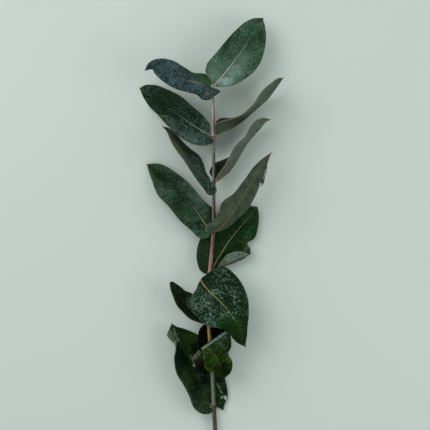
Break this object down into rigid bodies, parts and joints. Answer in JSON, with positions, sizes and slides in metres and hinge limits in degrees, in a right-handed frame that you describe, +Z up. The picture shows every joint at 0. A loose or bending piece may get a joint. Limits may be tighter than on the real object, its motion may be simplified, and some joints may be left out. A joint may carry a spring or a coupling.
{
  "type": "eucalyptus branch",
  "caption": "Cut eucalyptus branch lying down: a slim woody stem with broad stalkless leaves in opposite pairs, some folded or drooping.",
  "frame": {"origin": "middle of the branch's box seen from above, at the height of the surface that it lies on", "axes": "+Y along the stem from its cut end to its top, +Z up from the surface, +X to the right seen from above"},
  "size_m": [0.1218, 0.3836, 0.0447],
  "materials": {
    "leaf": "waxy grey-green bloom",
    "leaf_blue": "heavy blue-grey bloom",
    "stem": "smooth bark with pale bloom"
  },
  "bodies": {
    "root": {"stem": "stem", "leaf_1_right": "leaf", "leaf_2_left": "leaf_blue", "leaf_3_left": "leaf", "leaf_4_right": "leaf", "leaf_5_left": "leaf", "leaf_6_right": "leaf", "leaf_7_left": "leaf", "leaf_8_right": "leaf", "leaf_9_rear": "leaf", "leaf_10_front": "leaf", "leaf_11_left": "leaf", "leaf_12_rear": "leaf", "leaf_13_left": "leaf", "leaf_14_front": "leaf"}
  },
  "joints": []
}
